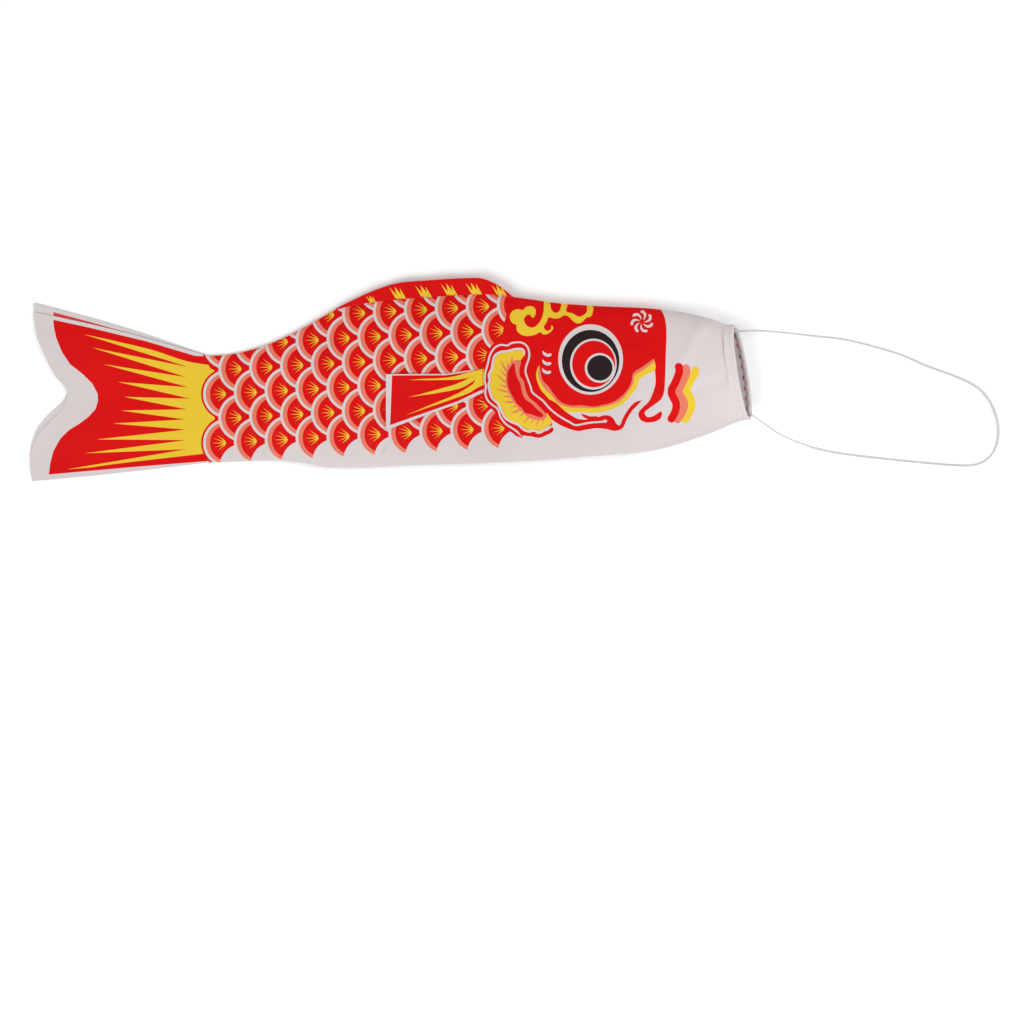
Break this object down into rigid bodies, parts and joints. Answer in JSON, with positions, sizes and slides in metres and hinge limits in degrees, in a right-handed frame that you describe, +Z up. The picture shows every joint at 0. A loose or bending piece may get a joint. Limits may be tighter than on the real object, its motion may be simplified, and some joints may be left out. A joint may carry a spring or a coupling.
{
  "type": "carp streamer",
  "caption": "Fish-shaped cloth windsock with an open mouth hoop, fins, split tail and a cord bridle, lying flat on its side.",
  "frame": {"origin": "on the floor plane, under the middle of the streamer's box without its bridle cord", "axes": "+X from the tail to the mouth, +Y from the belly seam to the back seam, +Z up out of the right flank; the left flank lies on z = 0"},
  "size_m": [0.538, 0.1123, 0.0189],
  "materials": {
    "printed_cloth": "thin plain-weave polyester, printed, soft sheen",
    "plain_cloth": "thin plain-weave polyester, unprinted white",
    "hoop_plastic": "milky nylon wire",
    "white_thread": "twisted polyester sewing thread",
    "red_thread": "twisted polyester sewing thread",
    "cord": "thin braided white cord"
  },
  "bodies": {
    "front_body": {"right_front_panel": "printed_cloth", "left_front_panel": "printed_cloth", "mouth_hem": "plain_cloth", "mouth_stiffener": "hoop_plastic", "mouth_hem_thread": "red_thread", "back_seam_thread_front": "white_thread", "belly_seam_thread_front": "white_thread", "right_fin_thread": "white_thread", "left_fin_thread": "white_thread", "back_tie_knot": "cord", "belly_tie_knot": "cord"},
    "rear_body": {"right_rear_panel": "printed_cloth", "left_rear_panel": "printed_cloth", "back_seam_thread_rear": "white_thread", "belly_seam_thread_rear": "white_thread"},
    "right_tail": {"right_tail_leaf": "printed_cloth"},
    "left_tail": {"left_tail_leaf": "printed_cloth"},
    "back_fin": {"dorsal_fin": "printed_cloth", "dorsal_fin_thread": "white_thread"},
    "right_fin": {"right_pectoral_fin": "printed_cloth"},
    "left_fin": {"left_pectoral_fin": "printed_cloth"},
    "bridle": {"bridle_cord": "cord"}
  },
  "joints": [
    {"name": "body_sway", "type": "hinge", "parent": "front_body", "child": "rear_body", "pos_m": [-0.04745, 0, 0.0029], "axis": [0, 1, 0], "range_deg": [-40, 40]},
    {"name": "right_tail_flap", "type": "hinge", "parent": "rear_body", "child": "right_tail", "pos_m": [-0.1021, -0.0092, 0.00118], "axis": [0, 1, 0], "range_deg": [0, 60]},
    {"name": "left_tail_flap", "type": "hinge", "parent": "rear_body", "child": "left_tail", "pos_m": [-0.1021, -0.0092, 0.00038], "axis": [0, 1, 0], "range_deg": [-60, 0]},
    {"name": "dorsal_fin_fold", "type": "hinge", "parent": "front_body", "child": "back_fin", "pos_m": [-0.03118, 0.03935, 0.00351], "axis": [0.997, 0.0743, 0.0206], "range_deg": [-70, 70]},
    {"name": "right_fin_fold", "type": "hinge", "parent": "front_body", "child": "right_fin", "pos_m": [0.05077, -0.0009, 0.01233], "axis": [0, 1, 0], "range_deg": [0, 120]},
    {"name": "left_fin_fold", "type": "hinge", "parent": "front_body", "child": "left_fin", "pos_m": [0.05077, -0.0009, 0.00025], "axis": [0, 1, 0], "range_deg": [-120, 0]},
    {"name": "bridle_swing", "type": "hinge", "parent": "front_body", "child": "bridle", "pos_m": [0.1909, 0.02695, 0.00905], "axis": [0.1762, -0.9843, 0], "range_deg": [-30, 80]}
  ]
}
